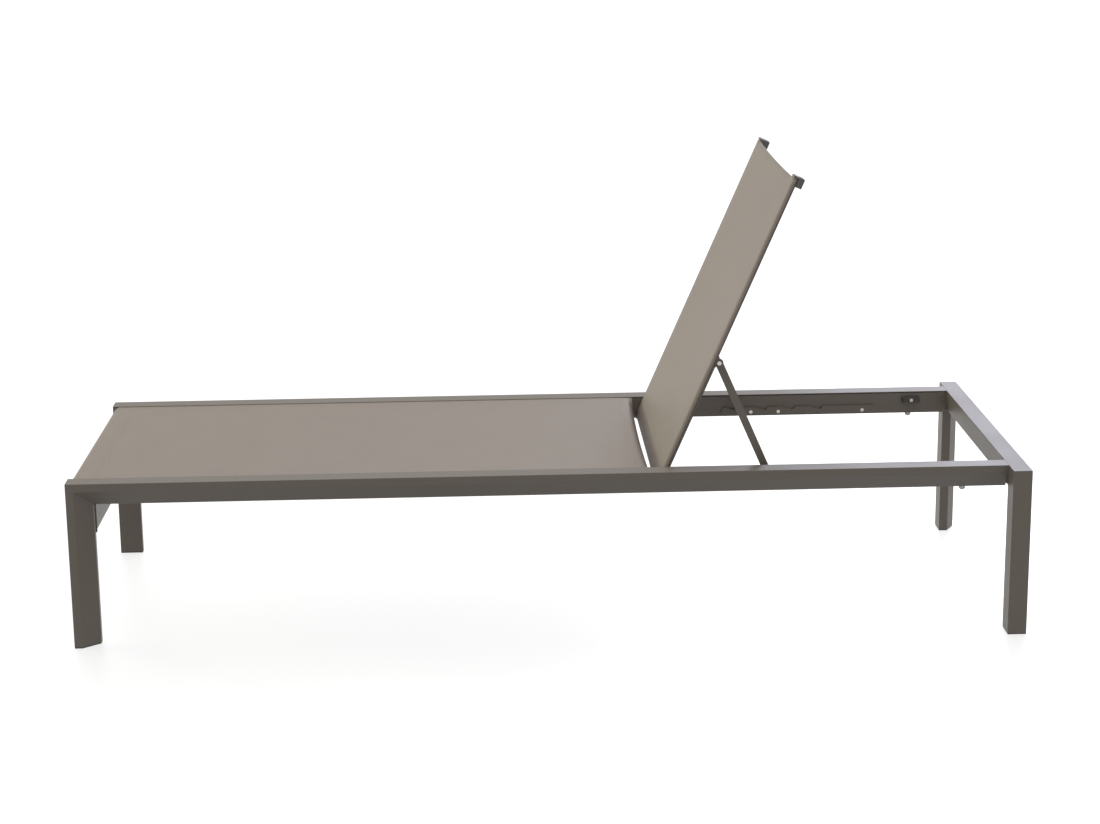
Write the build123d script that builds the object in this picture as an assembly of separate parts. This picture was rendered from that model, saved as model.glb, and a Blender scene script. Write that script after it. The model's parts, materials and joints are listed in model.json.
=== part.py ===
from build123d import *
import math
import os

# Sun lounger with a back that reclines to five places. Millimetres, +Z up, foot end at -X, head end at +X.
# The origin lies on the floor, under the middle of the frame.

# Whole lounger
hinge_from_foot = 1255
head_from_hinge = 745
overall_width = 710
rail_span = 630
top_height = 360
overrun = 5

# Side rail and foot leg, one chamfered extrusion mitred at the foot corner
rail_width = 40
rail_depth = 52
rail_outer_face = 17
rail_bottom_face = 14
rail_wall = 2
edge_radius = 1.2

# Head bar and head leg, the narrower chamfered extrusion mitred at the head corners
head_width = 40
head_depth = 45
head_outer_face = 14
head_inner_face = 20

# Groove that holds the welted edge of a sling
welt_radius = 2.0
welt_clearance = 0.1
sling_thickness = 0.9
groove_clearance = 0.2
groove_wall = 1.5
groove_mouth = 2.0
groove_lip = 1.6
groove_inset = 4.2

# Foot crossbar, brace and spreaders
foot_bar_radius = 10
foot_bar_setback = 5
tube_wall = 1.6
brace_width = 25
brace_depth = 64
spreader_width = 50
spreader_depth = 20
spreader_from_foot = 598
spreader_rise = 2
end_spreader_width = 20
end_spreader_depth = 25
end_spreader_setback = 14

# Seat sling
seat_to_hinge = 44
seat_end_sag = 4.5
seat_roll_radius = 13
seat_roll_angle = 60
pocket_flap = 45
sling_side_gap = 1

# Hinge of the back
hinge_drop = 24
back_angle = 66.5

# Back frame, in its own frame: from the hinge up the back, and out of its face
stile_width = 26
stile_depth = 10
stile_wall = 1.6
stile_corner = 5
stile_groove_lip = 6.5
stile_groove_inset = 5
stile_gap = 3
stile_top_drop = 2
stile_below_hinge = 31
stile_to_head_bar = 20
stile_cap_length = 4.5
stile_foot_cap_length = 1.5
stile_plug_length = 18
cap_radius = 4
cap_brim = 1
cap_depth = 24
cap_heel_length = 22
cap_heel_gap = 0.3
back_lower_bar_radius = 8
back_lower_bar_from_hinge = 25
back_top_bar_radius = 5
back_top_bar_setback = 44
back_sling_setback = 3
back_top_sag = 3

# Hinge plate along each stile, and its pins
plate_thickness = 3
plate_lobe_radius = 9
plate_low_edge = 4
plate_high_edge = 20.5
plate_corner = 4
plate_blend = 5
hinge_bolt_radius = 4
hinge_head_radius = 7
hinge_head_height = 4
hinge_bush_radius = 6.5
hinge_nut_radius = 6.5
hinge_nut_height = 6
bolt_tail = 2
running_fit = 0.05
side_play = 0.3
rivet_radius = 1.8
rivet_head_radius = 3.6
rivet_head_height = 1.4
rivet_reach = 3
rivet_height = 16.5
rivet_first_share = 0.22
rivet_count = 3

# Prop that holds the back up
prop_arm = 260
prop_thickness = 6
prop_height = 16
prop_bar_radius = 5
prop_sleeve_radius = 6
prop_sleeve_length = 6
prop_sleeve_end = 1.2
prop_pin_radius = 3
prop_head_radius = 5.5
prop_head_height = 4
prop_nut_radius = 5
prop_nut_height = 3.5
prop_washer_radius = 7
prop_washer_thickness = 0.6

# Notched rack on each rail
rack_thickness = 6
rack_clearance = 0.3
rack_depth = 17
notch_count = 4
notch_pitch = 65
notch_clearance = 0.4
notch_drop = 0.6
ramp_length = 24
rack_lead = 36
rack_end_radius = 5
rack_tail = 16
screw_radius = 2
screw_hole_clearance = 0.1
screw_head_radius = 4
screw_head_height = 2.4
screw_length = 12
screw_drop = 11
screw_count = 3

# Stops that the flat back rests on
stop_length = 40
stop_width = 13
stop_depth = 12
stop_setback = 66
stop_edge = 2

# Feet and bumpers
glide_thickness = 3
glide_margin = 0.4
glide_plug_length = 14
glide_plug_wall = 2
plug_clearance = 0.3
glide_edge = 0.8
bumper_radius = 6.5
bumper_height = 8
bumper_stem_radius = 2.5
bumper_stem_length = 9
bumper_setback = 90
bumper_edge = 2.5
hole_clearance = 0.1

# Places worked out from the sizes above
overall_length = hinge_from_foot + head_from_hinge
foot_x = -overall_length / 2
head_x = overall_length / 2
rail_head_x = head_x - head_width
rail_outer_y = -rail_span / 2
rail_inner_y = rail_outer_y + rail_width
head_outer_y = -overall_width / 2
hinge_x = foot_x + hinge_from_foot
hinge_z = top_height - hinge_drop
seat_end_x = hinge_x - seat_to_hinge
stile_outer_y = rail_inner_y + stile_gap
stile_inner_y = stile_outer_y + stile_width
stile_top = hinge_drop - stile_top_drop
stile_bottom = stile_top - stile_depth
stile_end = rail_head_x - hinge_x - stile_to_head_bar - stile_cap_length
back_sling_end = stile_end - back_sling_setback
ring_radius = welt_radius + welt_clearance + sling_thickness
groove_radius = ring_radius + groove_clearance
groove_depth = groove_lip - groove_clearance / 2 + groove_radius
stile_groove_depth = stile_groove_lip + groove_clearance / 2 + sling_thickness - ring_radius
sheet_half = welt_clearance + sling_thickness / 2
sheet_drop = groove_lip + groove_clearance / 2
sheet_middle = sheet_drop + sling_thickness / 2
plate_outer_y = stile_inner_y
plate_inner_y = plate_outer_y + plate_thickness
prop_outer_y = plate_inner_y + 2 * side_play + prop_washer_thickness
prop_inner_y = prop_outer_y + prop_thickness
rack_inner_y = rail_inner_y + rack_thickness
rack_top = hinge_z - prop_sleeve_radius - rack_clearance
first_notch = 2 * prop_arm * math.cos(math.radians(back_angle))

back_place = Pos(hinge_x, 0, hinge_z) * Rot(0, -back_angle, 0)
prop_place = back_place * Pos(prop_arm, 0, 0) * Rot(0, 2 * back_angle, 0)


def save(name, *solids):
    """Write one node, which may hold several separate solids."""
    body = solids[0] if len(solids) == 1 else Compound(children=list(solids))
    export_step(body, f"parts/{name}.step")


def other_side(shape):
    """The same piece on the right-hand side."""
    return mirror(shape, about=Plane.XZ)


def save_pair(name, shape):
    """Write a left-hand piece and its mirror image."""
    save(f"{name}_left", shape)
    save(f"{name}_right", other_side(shape))


def chamfered_points(width, depth, outer_face, far_face):
    """Outline of a square extrusion with one corner taken off, from its outer top corner."""
    return [(0, 0), (0, outer_face), (width - far_face, depth), (width, depth), (width, 0)]


def solid_section(points, radius):
    """Filled outline with softened corners."""
    face = make_face(Polyline(*points, close=True))
    return fillet(face.vertices(), radius)


def tube_section(points, wall, radius):
    """Hollow extrusion."""
    hollow = offset(make_face(Polyline(*points, close=True)), amount=-wall, kind=Kind.INTERSECTION)
    return solid_section(points, radius) - hollow


def grooved_section(outline, hollow, edge, middle, lip):
    """Hollow extrusion with a welt groove that opens at one of its sides, under a lip."""
    hollow -= Pos(*middle) * Circle(groove_radius + groove_wall)
    inward = math.copysign(1, middle[0] - edge)
    mouth = Rectangle(abs(middle[0] - edge) + overrun, groove_mouth)
    mouth = Pos((edge - inward * overrun + middle[0]) / 2, lip + groove_mouth / 2) * mouth
    return outline - hollow - Pos(*middle) * Circle(groove_radius) - mouth


def mitre_wedge(plane, edge, inward, reach, take_top):
    """What a 45 degree mitre takes off one of the two members that meet at a top corner."""
    low = (edge - inward * overrun, top_height + overrun)
    high = (edge + inward * (reach + overrun), top_height - reach - overrun)
    third = (high[0], low[1]) if take_top else (low[0], high[1])
    wedge = make_face(Polyline(low, high, third, close=True))
    return extrude(plane * wedge, amount=overall_length, both=True)


def rail():
    """Side rail with the groove, the holes for the hinge bolt, rack, stop and bumper."""
    points = chamfered_points(rail_width, rail_depth, rail_outer_face, rail_bottom_face)
    hollow = offset(make_face(Polyline(*points, close=True)), amount=-rail_wall, kind=Kind.INTERSECTION)
    middle = (rail_width - groove_inset, groove_depth)
    section = grooved_section(solid_section(points, edge_radius), hollow, rail_width, middle, groove_lip)
    start = Plane(origin=(rail_head_x, rail_outer_y, top_height), x_dir=(0, 1, 0), z_dir=(-1, 0, 0))
    body = extrude(start * section, amount=rail_head_x - foot_x)
    body -= mitre_wedge(Plane.XZ, foot_x, 1, rail_depth, False)
    body -= cross_pin(hinge_x, hinge_z, hinge_bolt_radius + hole_clearance, *wall_span())
    for x, z in rack_screw_places() + [stop_screw_place()]:
        body -= cross_pin(x, z, screw_radius + screw_hole_clearance, *wall_span())
    stem = Cylinder(bumper_stem_radius + hole_clearance, rail_wall + 2 * overrun)
    return body - bumper_place() * stem


def wall_span():
    """From clear of the rail's inner face to well inside the rail."""
    return rail_inner_y - rail_wall - overrun, rail_inner_y + overrun


def bumper_place():
    """Middle of the rail's narrow underside, near the head bar."""
    return Pos(rail_head_x - bumper_setback, rail_inner_y - rail_bottom_face / 2, top_height - rail_depth)


def cross_pin(x, z, radius, y_from, y_to):
    """Round bar along Y."""
    bar = Cylinder(radius, y_to - y_from, align=(Align.CENTER, Align.CENTER, Align.MIN))
    return Pos(x, y_from, z) * Rot(-90, 0, 0) * bar


def cross_ring(x, z, radius, bore, y_from, y_to):
    """Sleeve or washer along Y."""
    return cross_pin(x, z, radius, y_from, y_to) - cross_pin(x, z, bore, y_from, y_to)


def cross_hexagon(x, z, radius, y_from, y_to):
    """Hexagon nut body along Y."""
    start = Plane(origin=(x, y_from, z), x_dir=(1, 0, 0), z_dir=(0, 1, 0))
    return extrude(start * RegularPolygon(radius, 6), amount=y_to - y_from)


def foot_leg():
    """Foot leg: the rail's own extrusion turned down at the mitre."""
    points = chamfered_points(rail_width, rail_depth, rail_outer_face, rail_bottom_face)
    start = Plane(origin=(foot_x, rail_outer_y, top_height), x_dir=(0, 1, 0), z_dir=(0, 0, -1))
    section = tube_section(points, rail_wall, edge_radius)
    body = extrude(start * section, amount=top_height - glide_thickness)
    return body - mitre_wedge(Plane.XZ, foot_x, 1, rail_depth, True)


def head_bar():
    """Bar across the head end, flush with the rails and as wide as the head legs."""
    points = chamfered_points(head_width, head_depth, head_outer_face, head_inner_face)
    start = Plane(origin=(head_x, -head_outer_y, top_height), x_dir=(-1, 0, 0), z_dir=(0, -1, 0))
    body = extrude(start * tube_section(points, rail_wall, edge_radius), amount=overall_width)
    body -= mitre_wedge(Plane.YZ, head_outer_y, 1, head_depth, False)
    return body - mitre_wedge(Plane.YZ, -head_outer_y, -1, head_depth, False)


def head_leg():
    """Head leg, outside the rails, mitred into the head bar."""
    points = chamfered_points(head_width, head_depth, head_outer_face, head_inner_face)
    start = Plane(origin=(head_x, head_outer_y, top_height), x_dir=(-1, 0, 0), z_dir=(0, 0, -1))
    section = tube_section(points, rail_wall, edge_radius)
    body = extrude(start * section, amount=top_height - glide_thickness)
    return body - mitre_wedge(Plane.YZ, head_outer_y, 1, head_depth, True)


def glide(points, plane, wall):
    """Moulded foot plug: a sole plate under the leg and a hollow plug up inside it."""
    outline = make_face(Polyline(*points, close=True))
    sole = offset(outline, amount=-glide_margin, kind=Kind.INTERSECTION)
    sole = extrude(plane * sole, amount=glide_thickness)
    sole = chamfer(sole.faces().sort_by(Axis.Z)[0].edges(), glide_edge)
    plug = offset(outline, amount=-wall - plug_clearance, kind=Kind.INTERSECTION)
    core = offset(outline, amount=-wall - plug_clearance - glide_plug_wall, kind=Kind.INTERSECTION)
    return sole + extrude(plane * (plug - core), amount=-glide_plug_length)


def foot_glide():
    points = chamfered_points(rail_width, rail_depth, rail_outer_face, rail_bottom_face)
    top = Plane(origin=(foot_x, rail_outer_y, glide_thickness), x_dir=(0, 1, 0), z_dir=(0, 0, -1))
    return glide(points, top, rail_wall)


def head_glide():
    points = chamfered_points(head_width, head_depth, head_outer_face, head_inner_face)
    top = Plane(origin=(head_x, head_outer_y, glide_thickness), x_dir=(-1, 0, 0), z_dir=(0, 0, -1))
    return glide(points, top, rail_wall)


def round_tube(x, z, radius, half_length):
    """Round tube across the lounger."""
    return cross_ring(x, z, radius, radius - tube_wall, -half_length, half_length)


def box_tube(x_low, z_low, width, depth):
    """Rectangular tube across the lounger, between the inner faces of the rails."""
    start = Plane(origin=(x_low, rail_inner_y, z_low), x_dir=(1, 0, 0), z_dir=(0, 1, 0))
    points = [(0, 0), (width, 0), (width, -depth), (0, -depth)]
    return extrude(start * tube_section(points, tube_wall, edge_radius), amount=-2 * rail_inner_y)


def foot_bar_place():
    """Axis of the round bar that the foot end of the seat sling turns over."""
    radius = foot_bar_radius + welt_clearance + sling_thickness
    return foot_x + foot_bar_setback + radius, top_height - sheet_drop - radius


def sling_section(lines, start_plane, half_width):
    """A sheet that follows a line, seen from the side, and spans between the grooves."""
    sheet = trace(lines, line_width=sling_thickness)
    return extrude(start_plane * sheet, amount=half_width, both=True)


def rail_groove():
    """Middle of the left rail's groove, seen from the end."""
    return rail_inner_y - groove_inset, top_height - groove_depth


def stile_groove():
    """Middle of the left stile's groove, in the back's own frame."""
    return stile_outer_y + stile_groove_inset, stile_top - stile_groove_depth


def along(shape, x_from, x_to):
    """Extrudes a shape that is seen from the end."""
    start = Plane(origin=(x_from, 0, 0), x_dir=(0, 1, 0), z_dir=(1, 0, 0))
    return extrude(start * shape, amount=x_to - x_from)


def edge_hem(x_from, x_to, middle):
    """The sling's edge, folded round its welt inside the groove."""
    return along(Pos(*middle) * (Circle(ring_radius) - Circle(welt_radius + welt_clearance)), x_from, x_to)


def welt(x_from, x_to, middle):
    """Round welt cord in the sling's folded edge."""
    return along(Pos(*middle) * Circle(welt_radius), x_from, x_to)


def hollow_edge(edge, sag, chord):
    """Takes the shallow arc out of a sling's free end, which tension draws in between its sides."""
    half = chord / 2
    radius = (half * half + sag * sag) / (2 * sag)
    return Pos(edge - sag + radius, 0, 0) * Cylinder(radius, 2 * (top_height + overall_length))


def pocket(bar_x, bar_z, radius, sheet_z):
    """Line of a sling end that turns round a bar and is sewn back to the underside of the sheet."""
    end = (bar_x + pocket_flap, sheet_z - sling_thickness)
    reach = math.hypot(end[0] - bar_x, end[1] - bar_z)
    leave = math.atan2(end[1] - bar_z, end[0] - bar_x) - math.acos(radius / reach)
    tangent = (bar_x + radius * math.cos(leave), bar_z + radius * math.sin(leave))
    around = ThreePointArc((bar_x, sheet_z), (bar_x - radius, bar_z), tangent)
    return Curve() + [around, Line(tangent, end)]


def seat_roll_start():
    return seat_end_x - seat_roll_radius * math.sin(math.radians(seat_roll_angle))


def seat_sling():
    """Seat sling: pocket round the foot bar, flat sheet, turned-down free end by the hinge."""
    bar_x, bar_z = foot_bar_place()
    sheet_z = top_height - sheet_middle
    roll_x = seat_roll_start()
    flat = Curve() + [Line((bar_x, sheet_z), (roll_x, sheet_z))]
    turned = CenterArc((roll_x, sheet_z - seat_roll_radius), seat_roll_radius, 90, -seat_roll_angle)
    inner_half = -rail_inner_y - sling_side_gap
    body = sling_section(flat, Plane.XZ, -rail_groove()[0])
    body += sling_section(Curve() + [turned], Plane.XZ, inner_half)
    body += sling_section(pocket(bar_x, bar_z, foot_bar_radius + sheet_half, sheet_z), Plane.XZ, inner_half)
    body -= hollow_edge(seat_end_x, seat_end_sag, -2 * rail_inner_y)
    hem = edge_hem(bar_x, roll_x, rail_groove())
    return body + hem + other_side(hem)


def seat_welt():
    return welt(foot_bar_place()[0], seat_roll_start(), rail_groove())


def outer_corner(face):
    """The corner of a stile's section that the sling turns over."""
    return face.vertices().sort_by_distance((0, 0))[0]


def stile_section():
    """Hollow extrusion with one corner well rounded and the welt groove in its outer side."""
    points = [(0, 0), (0, stile_depth), (stile_width, stile_depth), (stile_width, 0)]
    square = make_face(Polyline(*points, close=True))
    outline = fillet(square.vertices().sort_by_distance((0, 0))[1:], edge_radius)
    outline = fillet(outer_corner(outline), stile_corner)
    hollow = offset(square, amount=-stile_wall, kind=Kind.INTERSECTION)
    hollow = fillet(outer_corner(hollow), stile_corner - stile_wall)
    return grooved_section(outline, hollow, 0, (stile_groove_inset, stile_groove_depth), stile_groove_lip)


def stile():
    """Side member of the back frame, in the back's own frame."""
    start = Plane(origin=(stile_end, stile_outer_y, stile_top), x_dir=(0, 1, 0), z_dir=(-1, 0, 0))
    body = extrude(start * stile_section(), amount=stile_end + stile_below_hinge)
    radius = rivet_radius + hole_clearance
    for u in rivet_places():
        body -= cross_pin(u, rivet_height, radius, stile_inner_y - overrun, stile_inner_y)
    return body


def rivet_places():
    """Rivets of the hinge plate, evenly spaced between its two pins."""
    first = rivet_first_share * prop_arm
    step = (prop_arm - 2 * first) / (rivet_count - 1)
    return [first + step * place for place in range(rivet_count)]


def cap_block(u_from, u_to, top):
    """Block of a stile cap, as wide and as low as the cap."""
    low = stile_top + cap_brim - cap_depth
    block = Box(u_to - u_from, stile_width + cap_brim, top - low, align=(Align.MIN, Align.MIN, Align.MIN))
    return Pos(u_from, stile_outer_y - cap_brim, low) * block


def stile_cap():
    """Moulded cap on the top end of a stile, with a brim round the sling and a heel to lift the back by."""
    end = stile_end + stile_cap_length
    head = cap_block(stile_end, end, stile_top + cap_brim)
    head += cap_block(end - cap_heel_length, end, stile_bottom - cap_heel_gap)
    head = fillet(head.faces().sort_by(Axis.X)[-1].edges(), cap_radius)
    return head + stile_plug(stile_end - stile_plug_length)


def stile_foot_cap():
    """Flat cap on the lower end of a stile."""
    low = -stile_below_hinge - stile_foot_cap_length
    head = Pos(low, stile_outer_y, stile_bottom) * Box(
        stile_foot_cap_length, stile_width, stile_depth, align=(Align.MIN, Align.MIN, Align.MIN)
    )
    return head + stile_plug(-stile_below_hinge)


def stile_plug(start):
    """The part of a cap that is pushed into the stile, beside the groove's wall."""
    margin = stile_wall + plug_clearance
    width = stile_width - margin - stile_groove_inset - groove_radius - groove_wall - plug_clearance
    plug = Box(stile_plug_length, width, stile_depth - 2 * margin, align=(Align.MIN, Align.MAX, Align.MIN))
    return Pos(start, stile_inner_y - margin, stile_bottom + margin) * plug


def back_bar(u, radius):
    """Round bar between the stiles, with its top level with theirs."""
    return round_tube(u, stile_top - radius, radius, -stile_inner_y)


def back_sheet_edge():
    """The back sling seen from the end: across, over the stile, down its outer side and into the groove."""
    sheet_v = stile_top + sheet_half
    turn_y = stile_outer_y + stile_corner
    side_y = stile_outer_y - sheet_half
    lip_v = stile_top - stile_groove_lip
    over = CenterArc((turn_y, stile_top - stile_corner), stile_corner + sheet_half, 90, 90)
    round_lip = CenterArc((stile_outer_y, lip_v), sheet_half, 180, 90)
    return Curve() + [
        Line((0, sheet_v), (turn_y, sheet_v)),
        over,
        Line((side_y, stile_top - stile_corner), (side_y, lip_v)),
        round_lip,
        Line((stile_outer_y, lip_v - sheet_half), (stile_groove()[0], lip_v - sheet_half)),
    ]


def back_sling():
    """Back sling: pocket round the lower bar, sheet over both stiles, free top end between them."""
    bar_u = -back_lower_bar_from_hinge
    half = along(trace(back_sheet_edge(), line_width=sling_thickness), bar_u, back_sling_end)
    hem = edge_hem(bar_u, back_sling_end, stile_groove())
    body = half + hem + other_side(half) + other_side(hem)
    bar_v = stile_top - back_lower_bar_radius
    turned = pocket(bar_u, bar_v, back_lower_bar_radius + sheet_half, stile_top + sheet_half)
    body += sling_section(turned, Plane.XZ, -plate_inner_y - sling_side_gap)
    return body - hollow_edge(back_sling_end, back_top_sag, -2 * stile_inner_y)


def back_welt():
    return welt(-back_lower_bar_from_hinge, back_sling_end, stile_groove())


def hinge_plate():
    """Side plate along the stile, from the hinge bolt to the pin of the prop."""
    length = prop_arm + 2 * plate_lobe_radius
    height = plate_high_edge - plate_low_edge
    strip = RectangleRounded(length, height, plate_corner, align=(Align.MIN, Align.MIN))
    outline = Pos(-plate_lobe_radius, plate_low_edge) * strip
    for u in (0, prop_arm):
        outline += Pos(u, 0) * Circle(plate_lobe_radius)
    neck = math.sqrt(plate_lobe_radius**2 - plate_low_edge**2)
    corners = [outline.vertices().sort_by_distance((u, plate_low_edge))[0] for u in (neck, prop_arm - neck)]
    outline = fillet(corners, plate_blend)
    start = Plane(origin=(0, plate_inner_y, 0), x_dir=(1, 0, 0), z_dir=(0, -1, 0))
    body = extrude(start * outline, amount=plate_thickness)
    body -= cross_pin(0, 0, hinge_bolt_radius + running_fit, plate_outer_y, plate_inner_y)
    body -= cross_pin(prop_arm, 0, prop_pin_radius + running_fit, plate_outer_y, plate_inner_y)
    for u in rivet_places():
        body -= cross_pin(u, rivet_height, rivet_radius + hole_clearance, plate_outer_y, plate_inner_y)
    return body


def plate_rivet(u):
    """Blind rivet: domed head on the plate, shank into the stile."""
    shank = cross_pin(u, rivet_height, rivet_radius, stile_inner_y - rivet_reach, plate_inner_y)
    head = cross_pin(u, rivet_height, rivet_head_radius, plate_inner_y, plate_inner_y + rivet_head_height)
    rim = head.faces().sort_by(Axis.Y)[-1].edges()
    return shank + chamfer(rim, rivet_head_height / 2)


def hinge_bolt():
    """Shoulder bolt from inside the back frame into the rail."""
    head_y = plate_inner_y + side_play
    tail_y = rail_inner_y - rail_wall - hinge_nut_height - bolt_tail
    head = cross_pin(hinge_x, hinge_z, hinge_head_radius, head_y, head_y + hinge_head_height)
    head = chamfer(head.faces().sort_by(Axis.Y)[-1].edges(), hinge_head_height / 3)
    return head + cross_pin(hinge_x, hinge_z, hinge_bolt_radius, tail_y, head_y)


def hinge_bush():
    """Spacer sleeve between the rail and the hinge plate."""
    bore = hinge_bolt_radius + running_fit
    return cross_ring(hinge_x, hinge_z, hinge_bush_radius, bore, rail_inner_y, plate_outer_y - side_play)


def hinge_nut():
    """Nut inside the rail."""
    inner = rail_inner_y - rail_wall
    body = cross_hexagon(hinge_x, hinge_z, hinge_nut_radius, inner - hinge_nut_height, inner)
    bore = hinge_bolt_radius + running_fit
    return body - cross_pin(hinge_x, hinge_z, bore, inner - hinge_nut_height, inner)


def prop_pin():
    """Shoulder bolt that the prop swings on, with its nut in one piece under the stile."""
    nut_low = plate_outer_y - prop_nut_height
    head_y = prop_inner_y + side_play
    body = cross_pin(prop_arm, 0, prop_pin_radius, nut_low, head_y)
    body += cross_hexagon(prop_arm, 0, prop_nut_radius, nut_low, plate_outer_y)
    head = cross_pin(prop_arm, 0, prop_head_radius, head_y, head_y + prop_head_height)
    return body + chamfer(head.faces().sort_by(Axis.Y)[-1].edges(), prop_head_height / 3)


def prop_washer():
    """Washer between the hinge plate and the prop."""
    low = plate_inner_y + side_play
    bore = prop_pin_radius + running_fit
    return cross_ring(prop_arm, 0, prop_washer_radius, bore, low, low + prop_washer_thickness)


def prop_leg():
    """Flat leg of the prop, in the prop's own frame: pin at the origin, bar at its far end."""
    start = Plane(origin=(prop_arm / 2, prop_inner_y, 0), x_dir=(1, 0, 0), z_dir=(0, -1, 0))
    body = extrude(start * SlotCenterToCenter(prop_arm, prop_height), amount=prop_thickness)
    body -= cross_pin(0, 0, prop_pin_radius + running_fit, prop_outer_y, prop_inner_y)
    return body - cross_pin(prop_arm, 0, prop_bar_radius + running_fit, prop_outer_y, prop_inner_y)


def prop_bar_end():
    """Half length of the prop's bar, inside its sleeves."""
    return -rail_inner_y - 2 * side_play - prop_sleeve_end


def prop_bar():
    return round_tube(prop_arm, 0, prop_bar_radius, prop_bar_end())


def prop_sleeve():
    """Moulded cup on each end of the bar, which lies on the rack."""
    bar_end = -prop_bar_end()
    inner = bar_end + prop_sleeve_length
    body = cross_pin(prop_arm, 0, prop_sleeve_radius, bar_end - prop_sleeve_end, inner)
    return body - cross_pin(prop_arm, 0, prop_bar_radius + running_fit, bar_end, inner)


def notch_places():
    """Distance of each notch from the hinge, for the back's raised places."""
    return [first_notch + notch_pitch * place for place in range(notch_count)]


def rack_span():
    return hinge_x + first_notch - rack_lead, hinge_x + 2 * prop_arm + rack_tail


def rack_screw_places():
    """Screws halfway between notches, low in the rack."""
    between = [hinge_x + place + notch_pitch / 2 for place in notch_places()]
    return [(x, rack_top - screw_drop) for x in between[:screw_count - 1]] + [
        (hinge_x + 2 * prop_arm - notch_pitch / 4, rack_top - screw_drop)
    ]


def stop_corner():
    """Head end and top of the stop, just under the stile of the flat back."""
    return rail_head_x - stop_setback, hinge_z + stile_bottom - rack_clearance


def stop_screw_place():
    x, z = stop_corner()
    return x - stop_length / 2, z - stop_depth / 2


def rack():
    """Notched rack: each notch has a steep head side that holds the bar and a long ramp on its foot side."""
    x_from, x_to = rack_span()
    start = Plane(origin=(x_from, rack_inner_y, rack_top), x_dir=(1, 0, 0), z_dir=(0, -1, 0))
    bar = RectangleRounded(x_to - x_from, rack_depth, rack_end_radius, align=(Align.MIN, Align.MAX))
    radius = prop_sleeve_radius + notch_clearance
    depth = radius + notch_drop
    for place in notch_places():
        x = hinge_x + place - x_from
        edge = x + radius
        ramp = Polyline((x - ramp_length, 0), (x, -depth), (edge, -notch_drop), (edge, 0), close=True)
        bar -= Pos(x, -notch_drop) * Circle(radius)
        bar -= make_face(ramp)
    body = extrude(start * bar, amount=rack_thickness)
    for x, z in rack_screw_places():
        body -= countersunk_hole(x, z, rail_inner_y, rack_inner_y)
    return body


def countersunk_hole(x, z, y_from, y_to):
    clearance = screw_hole_clearance
    shank = cross_pin(x, z, screw_radius + clearance, y_from - overrun, y_to + overrun)
    return shank + screw_cone(x, z, y_to, clearance)


def screw_cone(x, z, face_y, clearance):
    """Countersunk head, flush with the face that it is driven from."""
    cone = Cone(screw_radius + clearance, screw_head_radius + clearance, screw_head_height)
    return Pos(x, face_y - screw_head_height / 2, z) * Rot(-90, 0, 0) * cone


def screw(x, z, face_y):
    """Countersunk screw driven towards the rail."""
    return screw_cone(x, z, face_y, 0) + cross_pin(x, z, screw_radius, face_y - screw_length, face_y)


def stop_pad():
    """Moulded block on the rail that the stile lies on when the back is flat."""
    x, z = stop_corner()
    body = Box(stop_length, stop_width, stop_depth, align=(Align.MAX, Align.MIN, Align.MAX))
    body = Pos(x, rail_inner_y, z) * body
    body = fillet(body.faces().sort_by(Axis.Y)[-1].edges(), stop_edge)
    x, z = stop_screw_place()
    return body - countersunk_hole(x, z, rail_inner_y, rail_inner_y + stop_width)


def bumper():
    """Moulded button under the rail, which keeps stacked loungers apart."""
    place = bumper_place()
    button = place * Cylinder(bumper_radius, bumper_height, align=(Align.CENTER, Align.CENTER, Align.MAX))
    button = chamfer(button.faces().sort_by(Axis.Z)[0].edges(), bumper_edge)
    stem = Cylinder(bumper_stem_radius, bumper_stem_length, align=(Align.CENTER, Align.CENTER, Align.MIN))
    return button + place * stem


def frame():
    """Everything that stands still."""
    save_pair("rail", rail())
    save_pair("foot_leg", foot_leg())
    save("head_bar", head_bar())
    save_pair("head_leg", head_leg())
    save_pair("foot_glide", foot_glide())
    save_pair("head_glide", head_glide())
    bar_x, bar_z = foot_bar_place()
    save("foot_crossbar", round_tube(bar_x, bar_z, foot_bar_radius, -rail_inner_y))
    underside = top_height - rail_depth
    brace_x = foot_x + rail_depth - brace_width
    save("foot_brace", box_tube(brace_x, underside - brace_depth, brace_width, brace_depth))
    spreader_z = underside + spreader_rise
    save("seat_spreader", box_tube(foot_x + spreader_from_foot, spreader_z, spreader_width, spreader_depth))
    end_x = seat_end_x - end_spreader_setback - end_spreader_width
    save("seat_end_spreader", box_tube(end_x, spreader_z, end_spreader_width, end_spreader_depth))
    save("seat_sling", seat_sling())
    save_pair("seat_welt", seat_welt())
    save_pair("rail_bumper", bumper())


def mechanism():
    """What the frame carries for the back: hinge bolts, racks and stops."""
    save_pair("hinge_bolt", hinge_bolt())
    save_pair("hinge_bush", hinge_bush())
    nut = hinge_nut()
    save("hinge_nuts", nut, other_side(nut))
    save_pair("rack", rack())
    screws = [screw(x, z, rack_inner_y) for x, z in rack_screw_places()]
    save("rack_screws", *screws, *[other_side(one) for one in screws])
    save_pair("back_stop", stop_pad())
    stop_screw = screw(*stop_screw_place(), rail_inner_y + stop_width)
    save("stop_screws", stop_screw, other_side(stop_screw))


def backrest():
    """The reclining back, built flat about its hinge and then raised to its highest place."""
    save_pair("stile", back_place * stile())
    save_pair("stile_cap", back_place * stile_cap())
    save_pair("stile_foot_cap", back_place * stile_foot_cap())
    save("back_lower_bar", back_place * back_bar(-back_lower_bar_from_hinge, back_lower_bar_radius))
    save("back_top_bar", back_place * back_bar(stile_end - back_top_bar_setback, back_top_bar_radius))
    save_pair("hinge_plate", back_place * hinge_plate())
    rivets = [back_place * plate_rivet(u) for u in rivet_places()]
    save("plate_rivets", *rivets, *[other_side(one) for one in rivets])
    save("back_sling", back_place * back_sling())
    save_pair("back_welt", back_place * back_welt())
    save_pair("prop_pin", back_place * prop_pin())
    save_pair("prop_washer", back_place * prop_washer())


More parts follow.
